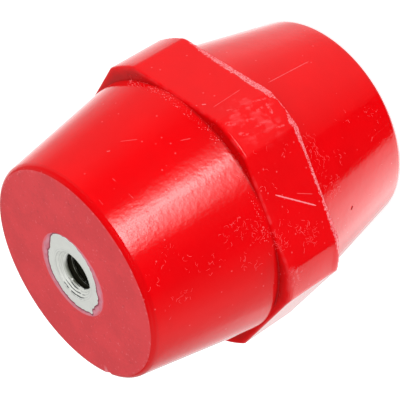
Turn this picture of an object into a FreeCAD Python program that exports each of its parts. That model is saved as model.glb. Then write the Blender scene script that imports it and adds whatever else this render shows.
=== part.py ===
import FreeCAD, Part
import math
import os

# Busbar insulator: a double-cone moulding with a hexagonal collar round its middle
# and a threaded metal insert moulded into each end.
# The axis is +Z, and the origin is the centre of the lower end face.
# All lengths are in millimetres and all angles in degrees.

# Moulded body
body_height = 45.0
end_diameter = 30.6            # across the cone's end, before its edge is rounded
end_edge_radius = 0.85
collar_thickness = 8.9
collar_across_flats = 38.4     # at the parting edge, the collar's widest place
collar_corner_rise = 3.1       # how much wider the turned corners are than the flats
collar_flat_ledge = 0.45       # from the cone's foot to the middle of a flat, at the parting edge
collar_draft = 0.7             # lets the collar leave the upper half of the mould
collar_corner_blend = 1.2      # where a flat runs into a turned corner
collar_edge_break = 0.3        # the collar's upper edge; its lower edge is the sharp parting edge

# Threaded inserts
insert_diameter = 12.0
insert_length = 16.0
insert_end_chamfer = 0.6
thread_bore_diameter = 5.0     # inside the crests of an M6 thread
countersink_width = 0.95       # on the radius, at the mouth, cut at 90 degrees
drill_point_angle = 118.0
insert_floor = 2.6             # solid metal left below the drill point

# What locks an insert in the moulding
plain_land = 1.8               # smooth band under the mouth
anchor_flange = 3.2            # full-width band at the buried end
pull_out_groove_width = 2.8
pull_out_groove_depth = 0.9
knurl_count = 8
knurl_depth = 0.4
knurl_angle = 90.0

# Sizes that follow from those above
mid_height = body_height / 2
collar_bottom = mid_height - collar_thickness / 2
collar_top = mid_height + collar_thickness / 2
cone_foot_diameter = collar_across_flats - 2 * collar_flat_ledge
bore_radius = thread_bore_diameter / 2
drill_point_height = bore_radius / math.tan(math.radians(drill_point_angle / 2))
hole_bottom = insert_floor
bore_bottom = hole_bottom + drill_point_height
groove_top = anchor_flange + pull_out_groove_width
knurl_band_length = insert_length - plain_land - groove_top

axis_z = FreeCAD.Vector(0, 0, 1)
origin = FreeCAD.Vector(0, 0, 0)


def closed_face(corners):
    """A flat face inside a closed run of corners."""
    return Part.Face(Part.makePolygon(corners + [corners[0]]))


def revolved(profile):
    """A solid turned about the axis from (radius, height) corners."""
    corners = [FreeCAD.Vector(radius, 0, height) for radius, height in profile]
    return closed_face(corners).revolve(origin, axis_z, 360)


def end_cone():
    """The lower cone, from its end face up to the collar, with its edge rounded."""
    cone = Part.makeCone(end_diameter / 2, cone_foot_diameter / 2, collar_bottom)
    edges = [e for e in cone.Edges if e.Closed and e.BoundBox.ZMax < collar_bottom / 2]
    return cone.makeFillet(end_edge_radius, edges)


def turned_over(shape):
    """The shape as it lies at the other end of the body."""
    return shape.rotated(FreeCAD.Vector(0, 0, mid_height), FreeCAD.Vector(1, 0, 0), 180)


def hexagon_corners(across_flats, height):
    """The corners of a hexagon whose flats face +X and -X."""
    corner_radius = across_flats / 2 / math.cos(math.radians(30))
    corners = []
    for index in range(6):
        angle = math.radians(30 + 60 * index)
        x = corner_radius * math.cos(angle)
        y = corner_radius * math.sin(angle)
        corners.append(FreeCAD.Vector(x, y, height))
    return corners


def tapered_hexagon(lower, upper):
    """A solid between two hexagons, one above the other."""
    faces = [closed_face(lower), closed_face(upper)]
    for index in range(6):
        after = (index + 1) % 6
        faces.append(closed_face([lower[index], lower[after], upper[after], upper[index]]))
    return Part.makeSolid(Part.makeShell(faces))


def collar():
    """The hexagonal collar, with turned corners, draft and its upper edge broken."""
    draft_in = collar_thickness * math.tan(math.radians(collar_draft))
    lower = hexagon_corners(collar_across_flats, collar_bottom)
    upper = hexagon_corners(collar_across_flats - 2 * draft_in, collar_top)
    flats = tapered_hexagon(lower, upper)
    corner_radius = (collar_across_flats + collar_corner_rise) / 2
    base = FreeCAD.Vector(0, 0, collar_bottom)
    corners = Part.makeCone(corner_radius, corner_radius - draft_in, collar_thickness, base)
    blank = flats.common(corners)
    sides = [e for e in blank.Edges if e.BoundBox.ZLength > collar_thickness / 2]
    blended = blank.makeFillet(collar_corner_blend, sides)
    rim = [e for e in blended.Edges if e.BoundBox.ZMin > collar_top - collar_thickness / 2]
    return blended.makeChamfer(collar_edge_break, rim)


def knurl_grooves():
    """The straight V grooves of the knurled band, as cutting shapes."""
    outer = insert_diameter / 2
    root = outer - knurl_depth
    overshoot = knurl_depth / 2
    half_width = (knurl_depth + overshoot) * math.tan(math.radians(knurl_angle / 2))
    corners = [
        FreeCAD.Vector(root, 0, groove_top),
        FreeCAD.Vector(outer + overshoot, half_width, groove_top),
        FreeCAD.Vector(outer + overshoot, -half_width, groove_top),
    ]
    groove = closed_face(corners).extrude(FreeCAD.Vector(0, 0, knurl_band_length))
    step = 360 / knurl_count
    return [groove.rotated(origin, axis_z, step * index) for index in range(knurl_count)]


def insert_blank():
    """The outside of an insert, standing on its buried end with its mouth on top."""
    outer = insert_diameter / 2
    groove_radius = outer - pull_out_groove_depth
    blank = revolved([
        (0, 0),
        (outer - insert_end_chamfer, 0),
        (outer, insert_end_chamfer),
        (outer, anchor_flange),
        (groove_radius, anchor_flange),
        (groove_radius, groove_top),
        (outer, groove_top),
        (outer, insert_length),
        (0, insert_length),
    ])
    return blank.cut(knurl_grooves())


def insert_hole():
    """The tapped hole's drilled form, with its countersunk mouth."""
    mouth_radius = bore_radius + countersink_width
    return revolved([
        (0, hole_bottom),
        (bore_radius, bore_bottom),
        (bore_radius, insert_length - countersink_width),
        (mouth_radius, insert_length),
        (0, insert_length),
    ])


def at_upper_end(shape):
    """Moves an insert shape so that its mouth lies flush with the upper end face."""
    return shape.translated(FreeCAD.Vector(0, 0, body_height - insert_length))


def moulded_body(upper_pocket, lower_pocket):
    """The moulding: two cones and the collar as one piece, round both inserts."""
    lower_cone = end_cone()
    body = lower_cone.fuse([collar(), turned_over(lower_cone)]).removeSplitter()
    return body.cut([upper_pocket, lower_pocket])


pocket = at_upper_end(insert_blank())
upper_insert = at_upper_end(insert_blank().cut(insert_hole()))
nodes = {
    "moulded_body": moulded_body(pocket, turned_over(pocket)),
    "upper_insert": upper_insert,
    "lower_insert": turned_over(upper_insert),
}

os.makedirs("parts", exist_ok=True)
for name, shape in nodes.items():
    shape.exportStep("parts/" + name + ".step")
    print(name, shape.ShapeType, len(shape.Solids), shape.isValid(), round(shape.Volume, 1))
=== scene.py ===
import math

import bpy
from bpy.props import FloatProperty, FloatVectorProperty, IntProperty, PointerProperty
from mathutils import Matrix, Vector


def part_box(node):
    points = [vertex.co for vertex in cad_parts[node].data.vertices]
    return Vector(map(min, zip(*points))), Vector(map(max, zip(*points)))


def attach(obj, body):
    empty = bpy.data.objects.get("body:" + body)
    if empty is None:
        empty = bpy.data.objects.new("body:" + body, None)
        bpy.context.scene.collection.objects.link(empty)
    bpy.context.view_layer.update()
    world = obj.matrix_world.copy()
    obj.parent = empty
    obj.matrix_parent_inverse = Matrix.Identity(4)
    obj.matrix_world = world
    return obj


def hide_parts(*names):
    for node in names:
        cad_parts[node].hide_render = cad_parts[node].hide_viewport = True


bl_info = {
    "name": "Busbar Insulator",
    "version": (1, 0, 0),
    "blender": (4, 5, 0),
    "location": "3D View > Sidebar > Insulator",
    "description": "Dresses a double-cone busbar insulator with a hexagonal collar",
    "category": "Add Mesh",
}

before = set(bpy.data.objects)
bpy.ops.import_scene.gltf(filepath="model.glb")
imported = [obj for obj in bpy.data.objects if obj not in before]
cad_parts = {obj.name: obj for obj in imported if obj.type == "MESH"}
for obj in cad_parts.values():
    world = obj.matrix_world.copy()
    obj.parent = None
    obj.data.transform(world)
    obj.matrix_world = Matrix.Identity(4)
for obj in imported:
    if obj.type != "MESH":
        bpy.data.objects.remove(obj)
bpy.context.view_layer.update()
BODY_LOW, BODY_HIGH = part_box("moulded_body")
INSERT_LOW, INSERT_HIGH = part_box("upper_insert")
MM = 0.001
TURN = 2 * math.pi
# Points this close are one, where a turned sheet meets itself
SEAM_REACH = 0.0005 * MM


# Settings

def length(name, description, millimetres):
    """A length that the user sets, given here in millimetres."""
    return FloatProperty(name=name, description=description, default=millimetres * MM,
                         min=0, unit="LENGTH", precision=5)


def angle(name, description, degrees):
    """An angle that the user sets, given here in degrees."""
    return FloatProperty(name=name, description=description, default=math.radians(degrees),
                         unit="ROTATION")


def colour(name, description, red, green, blue):
    """A colour that the user sets, in linear light."""
    return FloatVectorProperty(name=name, description=description, subtype="COLOR", size=3,
                               min=0, max=1, default=(red, green, blue))


def number(name, description, value):
    """A plain number that the user sets."""
    return FloatProperty(name=name, description=description, default=value)


def count(name, description, value):
    """A whole number that the user sets."""
    return IntProperty(name=name, description=description, default=value, min=0)


class MouldingSettings(bpy.types.PropertyGroup):
    height: length("Height", "From end face to end face", (BODY_HIGH.z - BODY_LOW.z) / MM)
    across_flats: length("Across flats", "Collar, at its parting edge",
                         (BODY_HIGH.x - BODY_LOW.x) / MM)
    across_corners: length("Across corners", "Collar, over its turned corners",
                           (BODY_HIGH.y - BODY_LOW.y) / MM)
    corner_blend: length("Corner blend", "How softly a flat runs into a turned corner", 0.14)
    end_diameter: length("End diameter", "Across the cone's end, before its edge is rounded", 30.6)
    end_edge: length("End edge radius", "Rounding between end face and cone", 0.85)
    flat_ledge: length("Flat ledge", "From the cone's foot to the middle of a flat", 0.45)
    collar_thickness: length("Collar thickness", "Along the axis", 8.9)
    collar_draft: angle("Collar draft", "Taper of the collar's side towards the upper end", 0.7)
    collar_edge: length("Collar edge radius", "Rounding of the collar's upper edge", 0.3)
    scrape_depth: number("Scrape depth", "Depth of the trimmed parting edge over its width", 0.35)
    scrape_raggedness: length("Scrape raggedness", "Unevenness of the trimmed parting edge", 0.24)
    flash_height: length("Flash height", "How far the torn flash hangs below the edge", 0.36)
    flash_thickness: length("Flash thickness", "Thickness of the torn flash", 0.08)
    chip_size: length("Chip size", "Chip in the upper end's edge", 0.72)
    steps_round: count("Steps round", "Steps in one turn", 600)
    red: colour("Moulding red", "Moulding compound", 0.825, 0.0005, 0.0028)
    bruised: colour("Bruised red", "Scraped and scratched moulding compound", 0.98, 0.24, 0.27)
    # Painted shade: darker red laid into the groove at the upper cone's foot
    groove_shade: colour("Groove shade red", "Painted shade in the groove at the upper cone's foot", 0.50, 0.0004, 0.001)
    end_red: colour("End face red", "Chalky moulding compound on the end faces", 0.86, 0.057, 0.069)
    gloss: number("Gloss roughness", "Roughness of the moulded sides", 0.085)
    satin: number("Satin roughness", "Roughness of the end faces", 0.55)


class InsertSettings(bpy.types.PropertyGroup):
    diameter: length("Diameter", "Outside", (INSERT_HIGH.x - INSERT_LOW.x) / MM)
    length: length("Length", "From mouth to buried end", (INSERT_HIGH.z - INSERT_LOW.z) / MM)
    end_chamfer: length("End chamfer", "At the buried end", 0.6)
    plain_land: length("Plain land", "Smooth band under the mouth", 1.8)
    anchor_flange: length("Anchor flange", "Full-width band at the buried end", 3.2)
    groove_width: length("Groove width", "Pull-out groove", 2.8)
    groove_depth: length("Groove depth", "Pull-out groove", 0.9)
    knurl_count: count("Knurl count", "V grooves round the insert", 8)
    knurl_depth: length("Knurl depth", "Depth of a V groove", 0.4)
    crest_radius: length("Crest radius", "Inside the thread's crests", 2.5)
    root_radius: length("Root radius", "At the thread's roots", 3.0)
    pitch: length("Pitch", "From one thread to the next", 1.0)
    countersink: length("Countersink", "Width and depth at the mouth", 0.95)
    floor: length("Floor", "Solid metal below the drill point", 2.6)
    drill_point: length("Drill point", "Height of the hole's pointed bottom", 1.5)
    # Painted shade: dark sides of the turning marks, strongest on one side of the face
    ring_shade: colour("Ring shade", "Turning marks with painted shade on the face", 0.13, 0.14, 0.14)
    mouth_shade: colour("Mouth shade", "Shaded side of the countersink", 0.16, 0.17, 0.12)
    # Painted glint: near white laid on one spot of the countersink
    glint: colour("Glint", "Painted glint on the countersink", 1.0, 1.0, 0.96)
    tool_ring: length("Tool ring depth", "Rings left by the countersink tool", 0.035)
    ring_reach: length("Ring reach", "Outer radius of the tool rings on the face", 4.15)
    steps_round: count("Steps round", "Steps in one turn", 240)
    zinc: colour("Zinc", "Plated metal", 0.985, 1.0, 0.94)
    # Painted shade: the dark colour laid down in the tapped hole
    bore_shade: colour("Bore shade", "Painted shade down in the tapped hole", 0.020, 0.018, 0.010)
    film_ragged: length("Film raggedness", "Unevenness of the film's inner edge", 0.55)
    film_thickness: length("Film thickness", "Resin film over the insert's rim", 0.02)
    film: colour("Film", "Thin resin film", 0.70, 0.15, 0.21)
    film_edge: colour("Film edge", "Thicker resin at the film's edge", 0.22, 0.02, 0.05)
    film_rim: colour("Film rim", "Resin film at the insert's outer edge", 0.88, 0.12, 0.15)
    film_pale: colour("Pale film", "Resin film where it is thinnest", 0.79, 0.32, 0.39)


class MarkSettings(bpy.types.PropertyGroup):
    fibre_density: number("Fibre density", "Fibre marks on a square metre of a patch", 5800000)
    fibre_length: length("Fibre length", "Length of a fibre mark", 0.52)
    fibre_thickness: length("Fibre thickness", "Radius of a fibre mark", 0.013)
    fibre_seed: count("Fibre seed", "Placing of the fibre marks", 7)
    fleck_count: count("Fleck count", "Places for flecks round the cone's foot", 1300)
    fleck_size: length("Fleck size", "Radius of a fleck", 0.055)
    fleck_seed: count("Fleck seed", "Placing of the flecks", 4)
    fibre_pale: colour("Pale fibre", "Fibre marks at their palest", 0.95, 0.16, 0.19)
    fibre_deep: colour("Deep fibre", "Fibre marks at their reddest", 0.92, 0.05, 0.06)
    lint: colour("Lint", "Dark fibre lying on the moulding", 0.60, 0.004, 0.012)
    lint_deep: colour("Deep lint", "Dark fibre at its darkest", 0.45, 0.003, 0.006)


class StageSettings(bpy.types.PropertyGroup):
    aim: FloatVectorProperty(name="Aim", description="Point that the camera looks at", size=3,
                             unit="LENGTH", default=(0.00017, 0.00065, 0.02314))
    distance: length("Distance", "From the camera to the aim", 204.8)
    azimuth: angle("Azimuth", "Camera's direction from the aim, from +X towards +Y", -160.02)
    elevation: angle("Elevation", "Camera's height over the floor", 30.43)
    roll: angle("Roll", "Turn of the camera about its own line of sight", 122.08)
    lens: number("Lens", "Focal length in millimetres on a 36 mm wide picture", 137.85)
    ambient: number("Ambient", "Even light from all round", 0.60)
    key_power: number("Key power", "Watts of the key light", 0.79)
    fill_power: number("Fill power", "Watts of the fill light", 1.50)
    floor_radius: length("Floor radius", "Round floor under the object", 900)
    floor_colour: colour("Floor colour", "Pale floor", 0.86, 0.86, 0.86)
    floor_bounce: number("Floor bounce", "Light that the floor throws up on the object", 0.25)
    floor_glow: number("Floor glow", "Light that the floor shows to the camera", 0.62)


# Node trees

class Value:
    """What a node gives, so that sums on it can be written as plain arithmetic."""

    def __init__(self, socket):
        self.socket = socket

    def __add__(self, other):
        return calc("ADD", self, other)

    def __radd__(self, other):
        return calc("ADD", other, self)

    def __sub__(self, other):
        return calc("SUBTRACT", self, other)

    def __rsub__(self, other):
        return calc("SUBTRACT", other, self)

    def __mul__(self, other):
        return calc("MULTIPLY", self, other)

    def __truediv__(self, other):
        return calc("DIVIDE", self, other)

    def __rtruediv__(self, other):
        return calc("DIVIDE", other, self)

    def __abs__(self):
        return calc("ABSOLUTE", self)


def tree_of(*terms):
    """The tree that the values among some terms belong to."""
    return next(term.socket.id_data for term in terms if isinstance(term, Value))


def fill_in(node, inputs):
    """Links or fills in a node's inputs."""
    for key, value in inputs.items():
        if isinstance(value, Value):
            node.id_data.links.new(value.socket, node.inputs[key])
        else:
            node.inputs[key].default_value = value


def add(tree, kind, inputs=None, **settings):
    """Adds a node, with its settings, and its inputs linked or filled in."""
    made = tree.nodes.new(kind)
    for name, value in settings.items():
        setattr(made, name, value)
    fill_in(made, inputs or {})
    return made


def value_of(tree, kind, inputs=None, result=0, **settings):
    """What a new node gives at one of its outputs."""
    return Value(add(tree, kind, inputs, **settings).outputs[result])


def values_of(tree, kind, inputs=None):
    """What a new node gives at all its outputs, by name."""
    return {socket.name: Value(socket) for socket in add(tree, kind, inputs).outputs}


def calc(operation, *terms):
    """The result of one sum on numbers."""
    return value_of(tree_of(*terms), "ShaderNodeMath", dict(enumerate(terms)),
                    operation=operation)


def most(first, second):
    """The greater of two numbers."""
    return calc("MAXIMUM", first, second)


def least(first, second):
    """The smaller of two numbers."""
    return calc("MINIMUM", first, second)


def vector_calc(operation, *terms, result="Vector"):
    """The result of one sum on vectors."""
    return value_of(tree_of(*terms), "ShaderNodeVectorMath", dict(enumerate(terms)),
                    result=result, operation=operation)


def far_from(place, point):
    """The distance between two places."""
    return vector_calc("DISTANCE", place, point, result="Value")


def dot(first, second):
    """The dot product of two vectors."""
    return vector_calc("DOT_PRODUCT", first, second, result="Value")


def scaled(vector, factor):
    """A vector made longer or shorter."""
    return value_of(tree_of(vector, factor), "ShaderNodeVectorMath",
                    {"Vector": vector, "Scale": factor}, operation="SCALE")


def parts_of(vector):
    """A vector's three numbers, by name."""
    return values_of(tree_of(vector), "ShaderNodeSeparateXYZ", {"Vector": vector})


def combined(x, y, z):
    """A vector from three numbers."""
    return value_of(tree_of(x, y, z), "ShaderNodeCombineXYZ", {"X": x, "Y": y, "Z": z})


def from_axis(xyz):
    """The distance from the Z axis."""
    return vector_calc("LENGTH", combined(xyz["X"], xyz["Y"], 0.0), result="Value")


def ramp(value, start, end):
    """Rises smoothly from 0 to 1 as a value goes from start to end."""
    return value_of(tree_of(value, start, end), "ShaderNodeMapRange",
                    {"Value": value, "From Min": start, "From Max": end},
                    interpolation_type="SMOOTHSTEP")


def fade(value, start, end):
    """Falls smoothly from 1 to 0 as a value goes from start to end."""
    return 1.0 - ramp(value, start, end)


def mixed_number(factor, first, second):
    """One number running into another by a factor from 0 to 1."""
    return value_of(tree_of(factor, first, second), "ShaderNodeMix",
                    {0: factor, 2: first, 3: second}, data_type="FLOAT")


def noise(vector, scale, detail=2.0):
    """Smooth random values about 0.5, fixed to their place."""
    return value_of(tree_of(vector), "ShaderNodeTexNoise",
                    {"Vector": vector, "Scale": scale, "Detail": detail}, result="Fac")


def curve_of(value, points):
    """A value looked up on a curve through (place, height) points, from 0 to 1."""
    made = add(tree_of(value), "ShaderNodeFloatCurve", {"Value": value})
    shape = made.mapping.curves[0].points
    shape[0].location = points[0]
    shape[1].location = points[-1]
    for point in points[1:-1]:
        shape.new(*point)
    for point in shape:
        point.handle_type = "VECTOR"
    made.mapping.update()
    return Value(made.outputs["Value"])


def round_curve(share, points, scale=1):
    """A curve by share of a turn, through (azimuth in degrees, height) points."""
    return curve_of(share, [(azimuth / 360, height / scale) for azimuth, height in points])


# What kind of input a tree takes for a value
INPUT_KINDS = {
    int: "NodeSocketInt",
    float: "NodeSocketFloat",
    bpy.types.Material: "NodeSocketMaterial",
}


def run_tree(piece, name, build, values):
    """Runs a geometry tree on a piece and keeps the result as the piece's plain mesh.

    The tree has the values as named inputs, and build makes its nodes from those.
    """
    tree = bpy.data.node_groups.new(name, "GeometryNodeTree")
    tree.interface.new_socket(name="Geometry", in_out="INPUT", socket_type="NodeSocketGeometry")
    tree.interface.new_socket(name="Geometry", in_out="OUTPUT", socket_type="NodeSocketGeometry")
    modifier = piece.modifiers.new(name, "NODES")
    sockets = [tree.interface.new_socket(name=label, in_out="INPUT",
                                         socket_type=INPUT_KINDS[type(value)])
               for label, value in values.items()]
    build(values_of(tree, "NodeGroupInput"))
    modifier.node_group = tree
    for socket, value in zip(sockets, values.values()):
        modifier[socket.identifier] = value
    depsgraph = bpy.context.evaluated_depsgraph_get()
    mesh = bpy.data.meshes.new_from_object(piece.evaluated_get(depsgraph))
    piece.modifiers.remove(modifier)
    mesh.name = piece.name
    piece.data = mesh
    return piece


def by_title(settings, *names):
    """Some settings as a tree's inputs, named by their titles."""
    return {name.replace("_", " ").title(): getattr(settings, name) for name in names}


def section_piece(name, points, values):
    """A piece that holds a half-section as a line of points, each with named values."""
    mesh = bpy.data.meshes.new(name)
    edges = [(index, index + 1) for index in range(len(points) - 1)]
    mesh.from_pydata([point[:3] for point in points], edges, [])
    for place, value in enumerate(values):
        layer = mesh.attributes.new(value, "FLOAT", "POINT")
        layer.data.foreach_set("value", [point[3 + place] for point in points])
    piece = bpy.data.objects.new(name, mesh)
    bpy.context.scene.collection.objects.link(piece)
    return piece


def turned_grid(section, steps):
    """A sheet with one column of points for each step round, and what each point reads.

    Returns the sheet, its turn angle, and a function that reads a value off the section.
    """
    tree = tree_of(section)
    rows = value_of(tree, "GeometryNodeAttributeDomainSize", {"Geometry": section},
                    result="Point Count", component="MESH")
    columns = steps + 1
    sheet = value_of(tree, "GeometryNodeMeshGrid",
                     {"Size X": 1.0, "Size Y": 1.0, "Vertices X": columns, "Vertices Y": rows})
    index = value_of(tree, "GeometryNodeInputIndex")
    column = calc("FLOOR", (index + 0.5) / rows)
    row = index - column * rows
    turn = column / steps * TURN

    def read(name):
        if name == "position":
            kind, value = "FLOAT_VECTOR", value_of(tree, "GeometryNodeInputPosition")
        else:
            kind, value = "FLOAT", value_of(tree, "GeometryNodeInputNamedAttribute",
                                            {"Name": name})
        return value_of(tree, "GeometryNodeSampleIndex",
                        {"Geometry": section, "Value": value, "Index": row}, data_type=kind)

    return sheet, turn, read


def round_the_axis(sheet, turn, radius, height):
    """The sheet wrapped round the axis at the given radius and height."""
    x = radius * calc("COSINE", turn)
    y = radius * calc("SINE", turn)
    return value_of(tree_of(sheet), "GeometryNodeSetPosition",
                    {"Geometry": sheet, "Position": combined(x, y, height)})


def keep_value(geometry, name, value):
    """The geometry with a named value kept on its points."""
    return value_of(tree_of(geometry), "GeometryNodeStoreNamedAttribute",
                    {"Geometry": geometry, "Name": name, "Value": value})


def finish_tree(geometry, material, closed=True, sharp=35.0):
    """Closes the sheet, shades it smooth up to a fold angle and sets its material."""
    tree = tree_of(geometry)
    if closed:
        geometry = value_of(tree, "GeometryNodeMergeByDistance",
                            {"Geometry": geometry, "Distance": SEAM_REACH})
    fold = value_of(tree, "GeometryNodeInputMeshEdgeAngle", result="Unsigned Angle")
    soft = value_of(tree, "FunctionNodeCompare", {0: fold, 1: math.radians(sharp)},
                    data_type="FLOAT", operation="LESS_THAN")
    for domain, smooth in (("FACE", True), ("EDGE", soft)):
        geometry = value_of(tree, "GeometryNodeSetShadeSmooth",
                            {"Geometry": geometry, "Shade Smooth": smooth}, domain=domain)
    geometry = value_of(tree, "GeometryNodeRealizeInstances", {"Geometry": geometry})
    painted = value_of(tree, "GeometryNodeSetMaterial",
                       {"Geometry": geometry, "Material": material})
    add(tree, "NodeGroupOutput", {"Geometry": painted})


def knurl_cut(turn, grooves, depth):
    """How deep the knurl's V grooves are at a turn angle, for grooves as wide as they are deep."""
    away = calc("PINGPONG", turn, math.pi / grooves)
    run = away * ((INSERT_HIGH.x - INSERT_LOW.x) / 2)
    return most(depth - run, 0.0)


# Materials

def new_material(name):
    """A material with one plain shader, and its tree."""
    material = bpy.data.materials.new(name)
    material.use_nodes = True
    tree = material.node_tree
    shader = tree.nodes["Principled BSDF"]
    return material, tree, shader


def mixed_colour(factor, first, second):
    """One colour running into another by a factor from 0 to 1."""
    ends = [end if isinstance(end, Value) else (*end, 1) for end in (first, second)]
    return value_of(tree_of(factor, first, second), "ShaderNodeMix",
                    {"Factor": factor, 6: ends[0], 7: ends[1]}, result=2, data_type="RGBA")


def darker(shade, factor):
    """A colour brought down by a factor."""
    return [part * factor for part in shade]


def object_place(tree):
    """The place on the piece, in metres."""
    return value_of(tree, "ShaderNodeTexCoord", result="Object")


def attribute(tree, name):
    """A number kept on the piece's points."""
    return value_of(tree, "ShaderNodeAttribute", result="Fac", attribute_name=name)


def bump(shader, height, depth, strength=1.0):
    """Gives a shader fine relief from a height between about 0 and 1 and a depth in mm."""
    normal = value_of(tree_of(height), "ShaderNodeBump",
                      {"Height": height, "Distance": depth * MM, "Strength": strength})
    fill_in(shader, {"Normal": normal})


def on_moulding(azimuth, height, radius):
    """A point given by its direction round the axis, height and radius, in mm and degrees."""
    direction = math.radians(azimuth)
    return (radius * math.cos(direction) * MM, radius * math.sin(direction) * MM, height * MM)


def near_spot(place, spot, inner, outer):
    """Is 1 up to an inner distance in mm from a spot on the moulding, and 0 from an outer one."""
    return fade(far_from(place, on_moulding(*spot)), inner * MM, outer * MM)


def towards(place, azimuth, radius):
    """How far a place lies towards an azimuth, as a share of a radius in mm."""
    return dot(place, on_moulding(azimuth, 0.0, 1 / (radius * MM))) * (1 / MM)


def scratch_group():
    """A shader group that is 1 along a straight scratch and 0 away from it."""
    tree = bpy.data.node_groups.new("Scratch", "ShaderNodeTree")
    for name in ("Place", "Start", "End"):
        tree.interface.new_socket(name=name, in_out="INPUT", socket_type="NodeSocketVector")
    tree.interface.new_socket(name="Width", in_out="INPUT", socket_type="NodeSocketFloat")
    tree.interface.new_socket(name="Mark", in_out="OUTPUT", socket_type="NodeSocketFloat")
    given = values_of(tree, "NodeGroupInput")
    along = vector_calc("SUBTRACT", given["End"], given["Start"])
    away = vector_calc("SUBTRACT", given["Place"], given["Start"])
    part = least(most(dot(away, along) / dot(along, along), 0.0), 1.0)
    distance = far_from(away, scaled(along, part))
    grain = noise(given["Place"], 2400.0) + 0.35
    taper = least(part * (1.0 - part) * 9.0 + 0.35, 1.0)
    mark = fade(distance / (given["Width"] * grain * taper), 0.35, 1.0)
    add(tree, "NodeGroupOutput", {"Mark": mark})
    return tree


# Each scratch: start and end as (azimuth, height, radius), half width in mm, strength
SCRATCHES = (
    ((-174.94, 24.79, 19.19), (172.8, 19.65, 19.33), 0.14, 1.00),
    ((-179.0, 21.7, 19.16), (177.4, 19.5, 19.21), 0.06, 0.35),
    ((-135.92, 15.5, 18.26), (-134.3, 7.2, 16.68), 0.08, 0.40),
    ((-135.5, 25.4, 19.85), (-134.9, 20.5, 19.86), 0.08, 0.30),
    ((-133.6, 40.56, 16.15), (-146.4, 40.28, 16.2), 0.10, 0.28),
    ((-121.2, 36.26, 16.97), (-125.7, 34.7, 17.27), 0.07, 0.30),
    ((-137.7, 31.0, 17.98), (-139.4, 29.9, 18.19), 0.08, 0.32),
    ((-138.1, 43.6, 15.57), (-155.6, 43.75, 15.54), 0.12, 0.30),
    ((-121.0, 38.4, 16.57), (-121.8, 38.1, 16.62), 0.12, 0.45),
    ((-131.7, 26.0, 19.5), (-132.6, 25.6, 19.55), 0.14, 0.60),
)
# Each smear, given in the same way, which is broken up and softer
SMEARS = (
    ((-139.9, 24.65, 20.33), (-141.3, 23.67, 20.54), 0.16, 0.34),
    ((-142.3, 21.15, 20.72), (-143.9, 19.22, 20.74), 0.14, 0.32),
    ((-145.6, 19.77, 20.73), (-149.6, 20.02, 20.73), 0.22, 0.42),
    ((-144.4, 26.37, 20.65), (-145.8, 25.12, 20.66), 0.30, 0.28),
    ((-149.7, 25.83, 20.65), (-151.2, 24.59, 20.67), 0.24, 0.28),
    ((-146.9, 23.97, 20.68), (-147.9, 22.56, 20.69), 0.20, 0.22),
    ((-150.5, 23.37, 20.68), (-150.9, 21.44, 20.71), 0.16, 0.24),
    ((-154.5, 20.78, 20.72), (-155.2, 19.60, 20.73), 0.14, 0.28),
    ((-142.7, 25.20, 20.72), (-143.8, 23.66, 20.68), 0.20, 0.20),
    ((-145.8, 21.58, 20.71), (-145.9, 20.40, 20.72), 0.14, 0.26),
)


# Radius in mm of the line along which the upper end face's rim is nicked
RIM_RADIUS = 14.66
# Single marks, each as (azimuth, height, radius)
KNOCK = (-147.2, 22.3, 20.7)
CHAFED_CORNER = (154.0, 25.9, 20.65)
DULLED_EDGE = (148.5, 26.9, 20.6)
HANDLED_SIDE = (203.0, 41.8, 15.9)
# Painted glint: a bright spot at the countersink's inner edge
GLINT_SPOT = (30.0, 44.16, 2.61)
CHIP = (82.2, 44.85, 15.15)


def scratch_marks(place):
    """How scratched the moulding is: clean scratches, and smears that are broken up."""
    group = scratch_group()

    def strongest(lines, widening):
        mark = 0.0
        for start, end, width, strength in lines:
            one = value_of(tree_of(place), "ShaderNodeGroup", {
                "Place": place, "Start": on_moulding(*start), "End": on_moulding(*end),
                "Width": width * widening * MM}, node_tree=group)
            mark = most(mark, one * strength)
        return mark

    marks = strongest(SCRATCHES, 1.0)
    smears = strongest(SMEARS, 1.6)
    broken = ramp(noise(place, 3000.0, 3.0), 0.36, 0.66)
    return most(marks, smears * broken)


def pale_specks(place):
    """Fine pale specks, at some of the cells of a random pattern."""
    cells = values_of(tree_of(place), "ShaderNodeTexVoronoi", {"Vector": place, "Scale": 950.0})
    pick = value_of(tree_of(place), "ShaderNodeSeparateColor", {"Color": cells["Color"]})
    return fade(cells["Distance"], 0.06, 0.14) * ramp(pick, 0.72, 0.8)


def rim_nicks(place, xyz):
    """Nicks along the upper end face's rim."""
    from_rim = abs(from_axis(xyz) - RIM_RADIUS * MM)
    nicks = fade(from_rim, 0.08 * MM, 0.24 * MM) * ramp(noise(place, 1700.0, 4.0), 0.55, 0.66)
    return nicks * ramp(xyz["Z"], 44.0 * MM, 44.5 * MM)


def corner_scuffs(place, xyz, aside):
    """How scuffed the knocked corner of the collar and the next corner are."""
    streaks = combined(aside - xyz["Z"] * 0.22, xyz["Z"] * 0.22, 0.0)
    scuffs = ramp(noise(streaks, 1900.0, 6.0), 0.44, 0.74)
    blotches = ramp(noise(place, 620.0, 4.0), 0.47, 0.62)
    near_knock = near_spot(place, KNOCK, 1.9, 4.9)
    scuffs = (scuffs * 0.7 + 0.3) * (near_knock * (blotches * 0.27 + 0.02))
    flecks = ramp(noise(place, 1500.0, 4.0), 0.5, 0.64)
    return most(scuffs, near_spot(place, CHAFED_CORNER, 0.7, 2.0) * (flecks * 0.36))


def edge_wear(place):
    """How worn the scraped, rubbed and chipped edges are."""
    tree = tree_of(place)
    scraped = attribute(tree, "scraped")
    torn = (noise(place, 3600.0, 4.0) - 0.5) * 1.5
    flakes = ramp(noise(place, 5200.0, 3.0), 0.38, 0.64) * 0.85 + 0.15
    worn = ramp(scraped + torn, 0.04, 0.2) * flakes * ramp(scraped, 0.0, 0.05)
    return most(most(worn, attribute(tree, "rubbed")), attribute(tree, "chipped"))


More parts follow.
